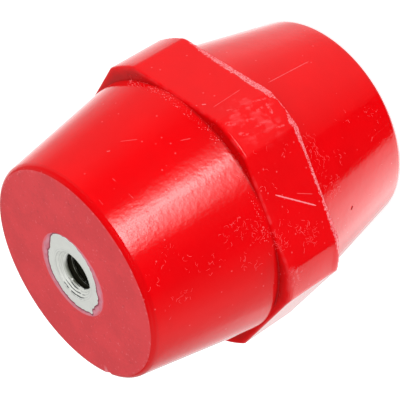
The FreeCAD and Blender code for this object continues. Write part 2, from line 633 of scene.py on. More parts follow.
def painted_groove_shade(place, xyz, ledge):
    """Painted shade in the groove at the upper cone's foot, clearing towards the collar's rim, and
    less far on the lit side.
    """
    at_foot = fade(abs(xyz["Z"] - ledge), 0.06 * MM, 0.42 * MM)
    lit_side = ramp(towards(place, 218.0, 19), 0.5, 0.92)
    reach = mixed_number(lit_side, 1.7 * MM, 0.9 * MM)
    groove_shade = at_foot * ramp(attribute(tree_of(place), "to_rim"), 0.25 * MM, reach)
    return groove_shade * (noise(place, 900.0, 3.0) * 0.5 + 0.62)


def clean_red(settings, place, from_end, end_face):
    """The moulding's colour without its marks: sides, chalky end faces, and rounded end edges
    darkened by painted shade.
    """
    red, end_red = settings.red, settings.end_red
    sides = mixed_colour(ramp(noise(place, 160.0, 3.0), 0.35, 0.65), darker(red, 0.95), red)
    chalk = noise(place, 260.0, 4.0) * 0.7 + noise(place, 2600.0, 3.0) * 0.3
    end = mixed_colour(ramp(chalk, 0.38, 0.62), darker(end_red, 0.9), end_red)
    pits = fade(noise(place, 1500.0, 4.0), 0.28, 0.37)
    end = mixed_colour(pits * 0.45, end, darker(end_red, 0.72))
    dust = ramp(noise(place, 2300.0, 3.0), 0.66, 0.72)
    end = mixed_colour(dust * 0.5, end, settings.bruised)
    # Painted shade: the rounded end edges are darkened all round
    rounded = (fade(from_end, 0.65 * MM, 0.95 * MM) - end_face) * 0.9
    return mixed_colour(rounded, mixed_colour(end_face, sides, end), darker(red, 0.88))


def moulding_relief(place, xyz, aside, end_face, marks):
    """The moulding's fine relief: grain, waves along and across, handling, and cut-in marks."""
    grain = noise(place, 6500.0, 3.0) * (end_face * 0.9 + 0.06)
    lengthwise = combined(aside, xyz["Z"] * 0.1, 0.0)
    wave = noise(place, 420.0, 1.0) * 1.7 + noise(place, 1900.0, 3.0) * 1.5
    wave = wave + noise(lengthwise, 900.0, 3.0)
    handled = near_spot(place, HANDLED_SIDE, 1.2, 4.6)
    wave = wave + noise(place, 1600.0, 3.0) * (handled * 2.6)
    return grain + wave - marks * 0.8


def moulding_material(settings):
    """Red moulding: glossy sides, satin ends, scraped parting edge, scuffs and scratches, with
    painted shade in the groove and on the rounded end edges.
    """
    material, tree, shader = new_material("red_moulding")
    place = object_place(tree)
    xyz = parts_of(place)
    aside = calc("ARCTAN2", xyz["Y"], xyz["X"]) * (KNOCK[2] * MM)
    from_end = least(xyz["Z"], settings.height - xyz["Z"])
    end_face = fade(from_end, 0.01 * MM, 0.06 * MM)

    marks = most(scratch_marks(place), pale_specks(place) * 0.3)
    marks = most(marks, rim_nicks(place, xyz) * 0.4)
    worn = most(most(marks, corner_scuffs(place, xyz, aside)), edge_wear(place))
    # Painted shade in the groove at the upper cone's foot, which also dulls its gloss
    groove_shade = painted_groove_shade(place, xyz, (settings.height + settings.collar_thickness) / 2)
    under_edge = ramp(xyz["Z"], 25.5 * MM, 26.6 * MM) * fade(xyz["Z"], 26.88 * MM, 26.94 * MM)
    dulled = near_spot(place, DULLED_EDGE, 1.8, 3.6) * under_edge

    base = clean_red(settings, place, from_end, end_face)
    base = mixed_colour(groove_shade, base, settings.groove_shade)
    base = mixed_colour(worn, base, settings.bruised)
    gloss = settings.gloss + (noise(place, 5200.0, 2.0) - 0.5) * 0.07
    rough = gloss + end_face * (settings.satin - settings.gloss)
    rough = most(most(most(rough, worn * 0.6), groove_shade * 0.3), dulled * 0.55)
    fill_in(shader, {"Base Color": base, "Roughness": rough, "IOR": 1.5})
    bump(shader, moulding_relief(place, xyz, aside, end_face, marks), 0.01)
    return material


def face_dashes(settings, place, radius, base):
    """The metal with the turning marks, painted shade on their sides towards one side, and the
    shaded mouth on the insert's face.
    """
    wander = noise(place, 500.0, 2.0) * (0.2 * MM)
    rows = calc("PINGPONG", (radius + wander) / (0.28 * MM), 0.5)
    broken = ramp(noise(place, 1300.0, 4.0), 0.44, 0.52)
    side = dot(place, on_moulding(58.0, 0.0, 1 / MM)) / radius
    # Turning marks, faint all round, with painted shade on their sides towards one side of the face
    dashes = (ramp(rows, 0.28, 0.36) * fade(radius, 3.35 * MM, 4.1 * MM)
              * most(broken * ramp(side, 0.68, 0.92), 0.21))
    base = mixed_colour(dashes, base, settings.ring_shade)
    left = dot(place, on_moulding(15.0, 0.0, 1 / MM)) / radius
    mouth = fade(radius, 2.5 * MM, 2.95 * MM) * ramp(left, 0.55, 0.95) * 0.85
    return mixed_colour(mouth, base, settings.mouth_shade)


def zinc_material(settings):
    """Pale zinc plating with turning marks, painted shade on the marks and down in the tapped hole,
    and a painted glint.
    """
    material, tree, shader = new_material("zinc_plated_steel")
    place = object_place(tree)
    xyz = parts_of(place)
    radius = from_axis(xyz)
    patch = ramp(noise(place, 700.0, 3.0), 0.35, 0.65)
    base = mixed_colour(patch, darker(settings.zinc, 0.96), settings.zinc)
    base = face_dashes(settings, place, radius, base)
    # Painted glint on the countersink's inner edge
    base = mixed_colour(near_spot(place, GLINT_SPOT, 0.09, 0.17), base, settings.glint)

    # Painted shade down the bore, with lines along the thread's crest edges left pale as painted
    # highlights
    phase = xyz["Z"] / settings.pitch - calc("ARCTAN2", xyz["Y"], xyz["X"]) / TURN
    flank = calc("PINGPONG", phase, 0.5) * 2.0
    crest = fade(abs(flank - 0.22), 0.03, 0.1) * ramp(noise(place, 700.0, 2.0), 0.25, 0.6)
    dark = attribute(tree, "in_bore") * (1.0 - crest * 0.9)
    base = mixed_colour(dark, base, settings.bore_shade)

    rough = noise(place, 1800.0, 3.0) * 0.2 + 0.35
    fill_in(shader, {"Base Color": base, "Metallic": 0.25, "Roughness": rough})
    rings = noise(combined(radius, 0.0, 0.0), 9000.0, 2.0)
    bump(shader, rings * 0.6 + noise(place, 3500.0, 3.0) * 0.5, 0.01, 0.7)
    return material


def film_material(settings):
    """Thin resin film: pale where it is thin, darker red at its edge."""
    material, tree, shader = new_material("resin_film")
    place = object_place(tree)
    share = attribute(tree, "film_share")
    cloud = ramp(noise(place, 1100.0, 3.0), 0.35, 0.65)
    thin = least(cloud * 0.7 + share * 0.4, 1.0)
    base = mixed_colour(thin, settings.film, settings.film_pale)
    rim = ramp(share + cloud * 0.3, 0.8, 1.15) * 0.8
    base = mixed_colour(rim, base, settings.film_rim)
    faded = ramp(towards(place, 212.0, 6), 0.45, 0.8) * 0.85
    thick = attribute(tree, "film_edge") * (1.0 - faded)
    base = mixed_colour(thick, base, settings.film_edge)
    fill_in(shader, {"Base Color": base, "Roughness": cloud * 0.2 + 0.3})
    bump(shader, noise(place, 2500.0, 3.0), 0.02, 0.8)
    return material


def mark_material(name, pale, deep):
    """Bits of fibre, fleck or lint, each with its own shade."""
    material, tree, shader = new_material(name)
    shade = ramp(noise(object_place(tree), 900.0, 1.0), 0.35, 0.65)
    fill_in(shader, {"Base Color": mixed_colour(shade, deep, pale),
                     "Roughness": shade * 0.2 + 0.45})
    return material


# Moulding

# Steps along the stretches of the moulding's section: end face, rounded end edge and cone
END_STEPS, EDGE_STEPS, CONE_STEPS = 9, 8, 18
# Then ledge, rounded collar edge, side, worn part of the side, and under the collar
LEDGE_STEPS, BREAK_STEPS, SIDE_STEPS, WORN_STEPS, UNDER_STEPS = 4, 6, 9, 18, 5
# Height in mm of the collar's side that the parting edge's wear can reach
WORN_HEIGHT = 1.3


def between(start, end, steps):
    """Section points from start up to, but not at, end."""
    return [tuple(a + (b - a) * step / steps for a, b in zip(start, end)) for step in range(steps)]


def insert_outline(insert):
    """An insert's outside as (radius, depth under the mouth, knurled) from the buried end."""
    outer = insert.diameter / 2
    groove = outer - insert.groove_depth
    flange = insert.length - insert.anchor_flange
    groove_top = flange - insert.groove_width
    return (
        (0.0, insert.length, 0.0),
        (outer - insert.end_chamfer, insert.length, 0.0),
        (outer, insert.length - insert.end_chamfer, 0.0),
        (outer, flange, 0.0),
        (groove, flange, 0.0),
        (groove, groove_top, 0.0),
        (outer, groove_top, 0.0),
        (outer, groove_top, 1.0),
        (outer, insert.plain_land, 1.0),
        (outer, insert.plain_land, 0.0),
        (outer, 0.0, 0.0),
    )


def end_half(moulding, insert, foot_radius, foot_depth):
    """Half-section from an insert's pocket to the cone's foot, by depth under the end face.

    A point is (radius, offset from the collar's outline, depth, collar, knurled).
    """
    points = [(radius, 0.0, depth, 0.0, knurled)
              for radius, depth, knurled in insert_outline(insert)]
    end_radius = moulding.end_diameter / 2
    edge = moulding.end_edge
    slope = math.atan((foot_radius - end_radius) / foot_depth)
    edge_centre = end_radius + edge * math.tan(slope) - edge / math.cos(slope)
    points += between((insert.diameter / 2, 0.0, 0.0, 0.0, 0.0),
                      (edge_centre, 0.0, 0.0, 0.0, 0.0), END_STEPS)[1:]
    quarter = math.pi / 2 - slope
    for step in range(EDGE_STEPS + 1):
        swing = quarter * step / EDGE_STEPS
        radius = edge_centre + edge * math.sin(swing)
        points.append((radius, 0.0, edge - edge * math.cos(swing), 0.0, 0.0))
    last = points.pop()
    return points + between(last, (foot_radius, 0.0, foot_depth, 0.0, 0.0), CONE_STEPS)


def moulding_section(moulding, insert):
    """The half-section from the upper pocket's middle, down the outside, to the lower one's.

    A point is (radius, offset from the collar's outline, height, collar, knurled, flash).
    """
    height = moulding.height
    low = (height - moulding.collar_thickness) / 2
    high = (height + moulding.collar_thickness) / 2
    foot = moulding.across_flats / 2 - moulding.flat_ledge
    draft = math.tan(moulding.collar_draft)
    edge = moulding.collar_edge
    half = end_half(moulding, insert, foot, low)
    upper = [(radius, offset, height - depth, collar, knurled)
             for radius, offset, depth, collar, knurled in half]
    top_in = -draft * moulding.collar_thickness
    rim = []
    for step in range(BREAK_STEPS + 1):
        swing = math.pi / 2 * step / BREAK_STEPS
        rim.append((foot, top_in - edge * (1 - math.sin(swing)),
                    high - edge * (1 - math.cos(swing)), 1.0, 0.0))
    fine = low + WORN_HEIGHT * MM
    side_top = rim.pop()
    side_fine = (foot, -draft * (fine - low), fine, 1.0, 0.0)
    parting = (foot, 0.0, low, 1.0, 0.0)
    ledge = between((foot, top_in - edge, high, 0.0, 0.0), rim[0], LEDGE_STEPS)
    side = (between(side_top, side_fine, SIDE_STEPS)
            + between(side_fine, parting, WORN_STEPS))
    fin = moulding.flash_thickness
    under = between((foot, -fin, low, 1.0, 0.0), (foot, 0.0, low, 0.0, 0.0), UNDER_STEPS)
    lower = half[::-1]
    above = [(*point, 0.0) for point in upper + ledge + rim + side + [parting]]
    flash = [(foot, 0.0, low, 1.0, 0.0, 1.0), (foot, -fin, low, 1.0, 0.0, 1.0)]
    below = [(*point, 0.0) for point in under + [(foot, 0.0, low, 0.0, 0.0)] + lower]
    return above + flash + below


# Width in mm of the scraped parting edge, by azimuth in degrees
SCRAPE_WIDTH = (
    (0, 0.22), (120, 0.22), (141, 0.18), (150, 0.26), (155, 0.62), (163, 0.64), (172, 0.46),
    (188, 0.46), (196, 0.52), (200, 0.72), (206, 0.74), (208, 0.15), (214, 0.15), (217, 0.90),
    (224, 0.98), (232, 0.84), (246, 0.80), (253, 0.58), (258, 0.30), (300, 0.22), (360, 0.22),
)
# How far in mm the parting edge is pushed out at the knocked corner, by azimuth in degrees
EDGE_SWELL = (
    (0, 0.0), (133, 0.0), (141, 0.07), (147, 0.13), (151, 0.11), (157, 0.03), (161, 0.0),
    (360, 0.0),
)
# How rubbed the collar's upper edge is, by azimuth in degrees
EDGE_RUB = (
    (0, 0.05), (138, 0.05), (148, 0.10), (156, 0.12), (168, 0.14), (177, 0.18), (190, 0.10),
    (216, 0.06), (360, 0.05),
)


def hexagon_outline(turn, across_flats, across_corners, blend):
    """The collar's radius at a turn angle: flats facing +X and -X, with turned corners."""
    from_flat = calc("FLOORED_MODULO", turn + TURN / 12, TURN / 6) - TURN / 12
    flat = across_flats / 2.0 / calc("COSINE", from_flat)
    corner = across_corners / 2.0
    return calc("SMOOTH_MIN", flat, corner, blend)


def moulding_tree(given):
    """Turns the half-section round the axis, with the collar's hexagon and its scraped edge."""
    tree = tree_of(given["Geometry"])
    sheet, turn, read = turned_grid(given["Geometry"], given["Steps Round"])
    point = parts_of(read("position"))
    collar = read("collar")
    outline = hexagon_outline(turn, given["Across Flats"], given["Across Corners"],
                              given["Corner Blend"])

    # Scraped parting edge
    share = turn / TURN
    around = combined(outline * calc("COSINE", turn), outline * calc("SINE", turn), point["Z"])
    ragged = noise(around, 2900.0, 4.0) - 0.5
    width = (round_curve(share, SCRAPE_WIDTH) * MM
             + ragged * 4.0 * given["Scrape Raggedness"])
    above = point["Z"] - given["Collar Bottom"]
    reach = most(width - above, 0.0)
    rough = noise(around, 3600.0, 3.0) * 0.6
    cut = reach * given["Scrape Depth"] * (rough + 0.7)
    scraped = ramp(reach, 0.0, 0.34 * MM) * ramp(collar, 0.6, 1.0)
    swell = round_curve(share, EDGE_SWELL) * fade(above, 0.1 * MM, 1.4 * MM)
    outline = outline + swell * MM
    edge = most(outline - cut, point["X"] + 0.12 * MM) + point["Y"]

    # Torn flash under the parting edge, deepest where the scrape is widest
    torn = ramp(width, 0.3 * MM, 1.1 * MM) * (noise(around, 3000.0, 4.0) + 0.15)
    drop = most(torn * given["Flash Height"], 0.01 * MM) * read("flash")

    # Rubbed upper edge
    from_top = abs(given["Collar Top"] - point["Z"])
    at_edge = fade(from_top, 0.1 * MM, 0.34 * MM) * ramp(collar, 0.9, 1.0)
    rub = round_curve(share, EDGE_RUB) * ramp(noise(around, 900.0, 4.0), 0.35, 0.65)
    rubbed = most(at_edge * rub, swell * collar * 1.5)

    # Radius, with the knurl's ribs in the pockets
    radius = point["X"] * (1.0 - collar) + edge * collar
    ribs = knurl_cut(turn, given["Knurl Count"], given["Knurl Depth"]) * read("knurled")
    radius = radius - ribs
    body = round_the_axis(sheet, turn, radius, point["Z"] - drop)
    body = keep_value(body, "scraped", scraped)
    body = keep_value(body, "rubbed", rubbed)
    body = keep_value(body, "to_rim", outline - radius)

    # Chip in the upper end's edge
    place = value_of(tree, "GeometryNodeInputPosition")
    chip = on_moulding(*CHIP)
    size = given["Chip Size"] * (noise(place, 2600.0, 2.0) + 0.5)
    bite = most(size - far_from(place, chip), 0.0)
    inward = scaled(Vector(chip).normalized() * -0.5, bite)
    body = keep_value(body, "chipped", ramp(bite, 0.0, 0.1 * MM))
    body = value_of(tree, "GeometryNodeSetPosition", {"Geometry": body, "Offset": inward})
    finish_tree(body, given["Material"])


# Inserts

# Rows of points along one pitch of the thread
THREAD_ROWS = 14
# Steps across the outer face, across the ringed face and down the countersink
FACE_STEPS, RING_STEPS, SINK_STEPS = 6, 12, 22
# Depth of the rings on the face, as a share of those in the countersink
FACE_RING = 0.35
# Rows over which the painted shade in the bore deepens from its mouth
DARKENING_ROWS = 4


def insert_section(insert):
    """An insert's half-section: outside, face, countersink and tapped hole, mouth upwards.

    A point is (radius, 0, height, threaded, knurled, in the bore).
    """
    top = INSERT_HIGH.z
    rim = 0.05 * MM
    outside = [(radius, 0.0, top - depth, 0.0, knurled, 0.0)
               for radius, depth, knurled in insert_outline(insert)[:-1]]
    outer = insert.diameter / 2
    outside += [(outer, 0.0, top - rim, 0.0, 0.0, 0.0)]
    mouth = insert.crest_radius + insert.countersink
    reach = insert.ring_reach
    face = between((outer - rim, 0.0, top, 0.0, 0.0, 0.0),
                   (reach, 0.0, top, 0.0, 0.0, 0.0), FACE_STEPS)
    for step in range(RING_STEPS):
        ring = insert.tool_ring * FACE_RING * (step // 2 % 2)
        radius = reach + (mouth - reach) * step / RING_STEPS
        face.append((radius, 0.0, top - ring, 0.0, 0.0, 0.0))
    sink = []
    for step in range(SINK_STEPS):
        depth = insert.countersink * step / SINK_STEPS
        ring = insert.tool_ring * (step // 2 % 2)
        sink.append((mouth - depth + ring, 0.0, top - depth, 1.0, 0.0, 0.0))
    bottom = top - insert.length + insert.floor + insert.drill_point
    bore_top = top - insert.countersink
    thread_end = bottom + insert.pitch
    rows = round((bore_top - thread_end) / insert.pitch * THREAD_ROWS)
    crest = insert.crest_radius
    bore = between((crest, 0.0, bore_top, 1.0, 0.0, 0.0),
                   (crest, 0.0, thread_end, 1.0, 0.0, 1.0), rows)
    bore = [(*point[:5], min(1.0, step / DARKENING_ROWS)) for step, point in enumerate(bore)]
    tip = [(crest, 0.0, thread_end - 0.4 * MM, 0.0, 0.0, 1.0), (crest, 0.0, bottom, 0.0, 0.0, 1.0),
           (0.0, 0.0, bottom - insert.drill_point, 0.0, 0.0, 1.0)]
    return outside + face + sink + bore + tip


def insert_tree(given):
    """Turns an insert's half-section round the axis, with its knurl and right-hand thread."""
    tree = tree_of(given["Geometry"])
    sheet, turn, read = turned_grid(given["Geometry"], given["Steps Round"])
    point = parts_of(read("position"))
    flank = calc("PINGPONG", point["Z"] / given["Pitch"] - turn / TURN, 0.5) * 2.0
    rise = value_of(tree, "ShaderNodeMapRange",
                    {"Value": flank, "From Min": 0.25, "From Max": 0.875,
                     "To Min": given["Crest Radius"], "To Max": given["Root Radius"]})
    groove = knurl_cut(turn, given["Knurl Count"], given["Knurl Depth"]) * read("knurled")
    radius = most(point["X"], rise * read("threaded")) - groove
    metal = round_the_axis(sheet, turn, radius, point["Z"])
    metal = keep_value(metal, "in_bore", read("in_bore"))
    finish_tree(metal, given["Material"], sharp=50.0)


# Steps in one turn of the resin film
FILM_STEPS = 360
# Radius in mm that the film's curve takes as 1
FILM_SCALE = 10
# The resin film's inner radius in mm, by azimuth in degrees
FILM_INNER = (
    (0, 4.90), (20, 4.92), (59, 5.15), (88, 5.35), (97, 5.75), (105, 5.10), (118, 4.95),
    (140, 5.05), (156, 4.75), (172, 4.85), (196, 5.25), (212, 5.45), (225, 5.66), (248, 5.90),
    (276, 5.86), (290, 5.25), (305, 4.70), (320, 4.82), (345, 4.85), (360, 4.90),
)


def film_tree(given):
    """A thin ring of resin over an insert's rim, with a ragged inner edge."""
    sheet, turn, read = turned_grid(given["Geometry"], given["Steps Round"])
    point = parts_of(read("position"))
    outer = given["Outer Radius"]
    around = combined(outer * calc("COSINE", turn), outer * calc("SINE", turn), 0.0)
    ragged = noise(around, 1400.0, 4.0) - 0.5
    inner = (round_curve(turn / TURN, FILM_INNER, FILM_SCALE) * (FILM_SCALE * MM)
             + ragged * given["Raggedness"])
    inner = least(inner, outer - 0.12 * MM)
    span = outer - inner
    film = round_the_axis(sheet, turn, inner + span * point["X"], point["Z"])
    film = keep_value(film, "film_edge", fade(point["X"] * span, 0.05 * MM, 0.28 * MM))
    film = keep_value(film, "film_share", point["X"])
    finish_tree(film, given["Material"], sharp=60.0)


def film_section(insert):
    """The film's closed section, from its outer foot: (share of its width, 0, height)."""
    low = INSERT_HIGH.z - 0.01 * MM
    high = INSERT_HIGH.z + insert.film_thickness
    across = (0.0, 0.03, 0.08, 0.16, 0.3, 0.5, 0.7, 0.9, 1.0)
    top = [(share, 0.0, high) for share in reversed(across)]
    return [(1.0, 0.0, low)] + top + [(0.0, 0.0, low), (0.5, 0.0, low), (1.0, 0.0, low)]


# Surface marks

def random_value(tree, seed, low, high):
    """A random number for each point, or three of them, between two limits."""
    if isinstance(high, tuple):
        return value_of(tree, "FunctionNodeRandomValue", {"Seed": seed, 0: low, 1: high},
                        data_type="FLOAT_VECTOR")
    return value_of(tree, "FunctionNodeRandomValue", {"Seed": seed, 2: low, 3: high},
                    result=1, data_type="FLOAT")


def thread_of(line, sides, radius):
    """A round solid along a line."""
    tree = tree_of(line)
    profile = value_of(tree, "GeometryNodeCurvePrimitiveCircle",
                       {"Resolution": sides, "Radius": radius})
    return value_of(tree, "GeometryNodeCurveToMesh",
                    {"Curve": line, "Profile Curve": profile, "Fill Caps": True})


# How far three bits of fibre are bent, as shares of their length
BENDS = (0.05, 0.35, 0.75)


def mark_shapes(length_socket, thickness):
    """Three bent bits of fibre, laid flat, as instances to pick from."""
    tree = tree_of(length_socket)
    shapes = add(tree, "GeometryNodeGeometryToInstance")
    half = length_socket * 0.5
    for bend in BENDS:
        line = value_of(tree, "GeometryNodeCurveQuadraticBezier", {
            "Resolution": 6,
            "Start": combined(half * -1.0, 0.0, 0.0),
            "Middle": combined(half * (bend - 0.3), length_socket * bend, 0.0),
            "End": combined(half, 0.0, 0.0)})
        fill_in(shapes, {0: thread_of(line, 4, thickness)})
    return Value(shapes.outputs[0])


# Where fibre marks lie: azimuth in degrees, then height and radius in mm, and how thick
FIBRE_PATCHES = (
    (182, 30.8, 18.0, 0.7), (179, 29.8, 18.2, 1.0), (176, 28.7, 18.4, 0.7), (166, 31.6, 17.9, 0.5),
    (162, 30.8, 18.0, 0.3), (174, 34.7, 17.3, 0.4), (172, 36.4, 17.0, 0.2), (178, 33.0, 17.6, 0.3),
    (185, 40.0, 16.3, 0.4), (177, 38.5, 16.6, 0.3), (178, 43.0, 15.7, 0.3), (165, 40.4, 16.2, 0.4),
    (169, 23.0, 19.5, 0.6), (167, 22.1, 19.7, 1.0), (165, 21.4, 19.9, 1.0), (163, 22.4, 20.0, 1.0),
    (173, 24.8, 19.3, 0.3), (196, 21.3, 20.0, 0.3), (156, 26.2, 20.6, 0.7), (150, 25.6, 20.7, 0.5),
    (188, 25.5, 19.3, 0.3), (193, 25.7, 19.6, 0.3), (170, 27.0, 19.1, 0.8), (167, 26.5, 19.6, 0.9),
    (177, 16.5, 18.5, 0.9), (173, 16.2, 18.4, 0.8), (182, 16.2, 18.4, 0.9), (187, 16.2, 18.4, 1.0),
    (191, 16.4, 18.4, 0.9), (195, 15.8, 18.3, 0.6), (177, 15.0, 18.2, 0.6), (171, 14.9, 18.1, 0.7),
    (194, 8.5, 16.9, 0.4), (184, 11.8, 17.5, 0.5), (190, 3.1, 15.9, 0.4),
)
# Distances in mm from a patch's middle: as thick as given up to the first, none from the second
PATCH_REACH = (0.4, 1.7)
# Shares of the fibre length that a fibre mark measures, at least and at most
FIBRE_SIZE = (0.35, 1.25)
SIZE_SEED = 21


def fibre_tree(given):
    """Scatters bits of fibre over the moulding, thickest where the photograph shows them."""
    tree = tree_of(given["Geometry"])
    place = value_of(tree, "GeometryNodeInputPosition")
    xyz = parts_of(place)

    # Patches, and sparse clumps on the side that the photograph shows
    thick = 0.0
    for *spot, share in FIBRE_PATCHES:
        thick = most(thick, near_spot(place, spot, *PATCH_REACH) * share)
    toward = calc("ARCTAN2", xyz["Y"], xyz["X"] * -1.0)
    side = fade(abs(toward - 0.05), math.radians(8), math.radians(34))
    sparse = side * ramp(noise(place, 170.0, 2.0), 0.5, 0.72) * 0.045

    # None in the pockets, on the end faces or at their edges
    outside = ramp(from_axis(xyz), 15.2 * MM, 15.4 * MM)
    off_edge = ramp(least(xyz["Z"], given["Height"] - xyz["Z"]), 1.0 * MM, 2.0 * MM)
    density = (thick + sparse) * (outside * off_edge) * given["Density"]
    spread = values_of(tree, "GeometryNodeDistributePointsOnFaces",
                       {"Mesh": given["Geometry"], "Seed": given["Seed"], "Density": density})
    turn = random_value(tree, given["Seed"], 0.0, TURN)
    spun = value_of(tree, "FunctionNodeAxisAngleToRotation", {"Axis": (0, 0, 1), "Angle": turn})
    rotation = value_of(tree, "FunctionNodeRotateRotation",
                        {"Rotation": spread["Rotation"], "Rotate By": spun},
                        rotation_space="LOCAL")
    size = random_value(tree, SIZE_SEED, *FIBRE_SIZE)
    picks = value_of(tree, "GeometryNodeInstanceOnPoints",
                     {"Points": spread["Points"],
                      "Instance": mark_shapes(given["Length"], given["Thickness"]),
                      "Pick Instance": True, "Rotation": rotation,
                      "Scale": combined(size, size, 1.0)})
    finish_tree(picks, given["Material"], closed=False, sharp=60.0)


# How many flecks there are at the cone's foot, by share of a turn
FLECK_AMOUNT = (
    (0.0, 0.30), (0.42, 0.34), (0.50, 0.45), (0.525, 0.58), (0.545, 0.45), (0.59, 0.50),
    (0.62, 0.66), (0.65, 0.55), (0.67, 0.60), (0.69, 0.56), (0.71, 0.66), (0.735, 0.60),
    (0.76, 0.36), (1.0, 0.30),
)
# The least and the most that a fleck is moved up the cone, in metres
FLECK_RISE = (0.00005, 0.0012)
# Shares of the fleck size that a fleck measures each way, at least and at most
FLECK_SHAPE = ((0.35, 0.35, 0.35), (1.5, 1.5, 1.3))
# Share of its radius that the cone leans in for each metre above its foot
CONE_LEAN = 10.2
SHAPE_SEED = 9
LEAN_SEED = 12


def fleck_tree(given):
    """Strews small flecks round the cone's foot, in uneven clumps."""
    tree = tree_of(given["Geometry"])
    ring = value_of(tree, "GeometryNodeMeshCircle",
                    {"Vertices": given["Count"], "Radius": given["Foot Radius"]})
    place = value_of(tree, "GeometryNodeInputPosition")
    xyz = parts_of(place)
    azimuth = calc("FLOORED_MODULO", calc("ARCTAN2", xyz["Y"], xyz["X"]) / TURN, 1.0)
    amount = curve_of(azimuth, FLECK_AMOUNT)
    keep = value_of(tree, "FunctionNodeCompare", {0: noise(place, 260.0, 3.0) + amount, 1: 1.0},
                    data_type="FLOAT", operation="GREATER_THAN")

    # Each fleck is moved up the cone
    low, high = FLECK_RISE
    rise = parts_of(random_value(tree, given["Seed"], (0.0, 0.0, low), (0.0, 0.0, high)))["Z"]
    foot = scaled(place, 1.0 - rise * CONE_LEAN)
    spot = vector_calc("ADD", foot, combined(0.0, 0.0, given["Ledge Height"] + rise))
    moved = value_of(tree, "GeometryNodeSetPosition", {"Geometry": ring, "Position": spot})
    grain = value_of(tree, "GeometryNodeMeshIcoSphere",
                     {"Radius": given["Fleck Size"], "Subdivisions": 1})
    shape = random_value(tree, SHAPE_SEED, *FLECK_SHAPE)
    lean = random_value(tree, LEAN_SEED, (0.0, 0.0, 0.0), (TURN, TURN, TURN))
    picks = value_of(tree, "GeometryNodeInstanceOnPoints",
                     {"Points": moved, "Selection": keep, "Instance": grain,
                      "Rotation": lean, "Scale": shape})
    finish_tree(picks, given["Material"], closed=False, sharp=20.0)


# Points along a strand of lint, how finely it wanders, and what its wander starts from
LINT_POINTS = 70
LINT_WANDER = 700.0
LINT_MIDDLE = (0.5, 0.5, 0.35)


def lint_tree(given):
    """A loose fibre lying along the groove between cone and collar."""
    tree = tree_of(given["Geometry"])
    place = value_of(tree, "GeometryNodeInputPosition")
    line = value_of(tree, "GeometryNodeMeshToCurve", {"Mesh": given["Geometry"]})
    line = value_of(tree, "GeometryNodeResampleCurve", {"Curve": line, "Count": LINT_POINTS})
    shake = value_of(tree, "ShaderNodeTexNoise",
                     {"Vector": place, "Scale": LINT_WANDER, "Detail": 3.0}, result="Color")
    shift = scaled(vector_calc("SUBTRACT", shake, LINT_MIDDLE), given["Wander"])
    line = value_of(tree, "GeometryNodeSetPosition", {"Geometry": line, "Offset": shift})
    finish_tree(thread_of(line, 5, given["Thickness"]), given["Material"], closed=False,
                sharp=60.0)


# Stage

# Brightness that the gloss mirrors, by azimuth in degrees, at three heights in degrees
SURROUNDINGS = {
    -12: ((0, 1.15), (25, 0.64), (60, 0.41), (78, 0.43), (95, 0.48), (110, 0.42), (125, 0.22),
          (146, 0.02), (170, 0.01), (178, 0.07), (200, 0.14), (228, 0.10), (245, 0.03),
          (256, 0.05), (268, 0.17), (280, 0.29), (308, 0.30), (325, 0.53), (338, 0.65),
          (350, 1.15), (360, 1.15)),
    -31: ((0, 1.25), (34, 1.02), (44, 1.14), (60, 1.18), (75, 1.95), (82, 1.40), (105, 0.94),
          (110, 0.76), (112, 0.05), (180, 0.05), (205, 0.25), (225, 0.32), (272, 0.34),
          (285, 0.37), (320, 0.42), (336, 0.75), (355, 1.25), (360, 1.25)),
    -52: ((0, 1.22), (25, 0.95), (45, 1.40), (65, 2.50), (90, 2.30), (108, 1.95), (126, 1.20),
          (131, 0.85), (132.5, 0.02), (179, 0.01), (186, 0.01), (189, 0.09), (200, 0.17),
          (230, 0.33), (280, 0.41), (300, 0.60), (315, 0.86), (345, 0.90), (360, 1.22)),
}
SURROUNDINGS_PEAK = 2.5
# The same above the horizon, where the photographer's side is dark, and straight overhead
SURROUNDINGS_ABOVE = (
    (0, 0.28), (15, 0.23), (24, 0.05), (60, 0.30), (100, 0.34), (138, 0.03), (272, 0.03),
    (305, 0.14), (340, 0.26), (360, 0.29),
)
OVERHEAD = 0.03
# Heights in degrees between which one table runs into the next
LOW_TO_MIDDLE = (-50.0, -36.0)
MIDDLE_TO_LEVEL = (-28.0, -15.0)
LEVEL_TO_ABOVE = (2.0, 16.0)
ABOVE_TO_OVERHEAD = (42.0, 60.0)
# The soft box's broad part and its bright core: brightness, then azimuth with the half width
# inside and out, then height with the half height inside and out
SOFT_BOX = ((11.3, -153.7, 0.0, 24.5, 0.0, 0.0, 16.0), (5.6, -149.4, 1.0, 7.5, -8.0, 0.5, 6.0))
# Each lamp: azimuth and elevation in degrees, distance from the aim and side in metres
KEY_LIGHT = (-100.0, 8.0, 0.55, 0.30)
FILL_LIGHT = (-163.0, 42.0, 0.60, 0.40)
# Sides of the round floor's outline
FLOOR_STEPS = 96


def surroundings(direction):
    """What the gloss mirrors in a direction: panels and gaps at three heights, and the soft box."""
    xyz = parts_of(direction)
    share = calc("FLOORED_MODULO", calc("ARCTAN2", xyz["Y"], xyz["X"]) / TURN, 1.0)
    height = calc("ARCSINE", xyz["Z"]) * (180 / math.pi)
    level, middle, low = (round_curve(share, points, SURROUNDINGS_PEAK)
                          for points in SURROUNDINGS.values())
    below = mixed_number(ramp(height, *LOW_TO_MIDDLE), low, middle)
    below = mixed_number(ramp(height, *MIDDLE_TO_LEVEL), below, level)
    above = round_curve(share, SURROUNDINGS_ABOVE)
    above = mixed_number(ramp(height, *ABOVE_TO_OVERHEAD), above, OVERHEAD)
    bright = mixed_number(ramp(height, *LEVEL_TO_ABOVE), below * SURROUNDINGS_PEAK, above)
    for power, box_azimuth, inside, outside, box_height, near, far in SOFT_BOX:
        aside = abs(share * 360.0 - (box_azimuth + 360))
        rise = height - box_height
        rise = most(rise * -1.0, rise * 2.0)
        bright = bright + fade(aside, inside, outside) * fade(rise, near, far) * power
    return bright


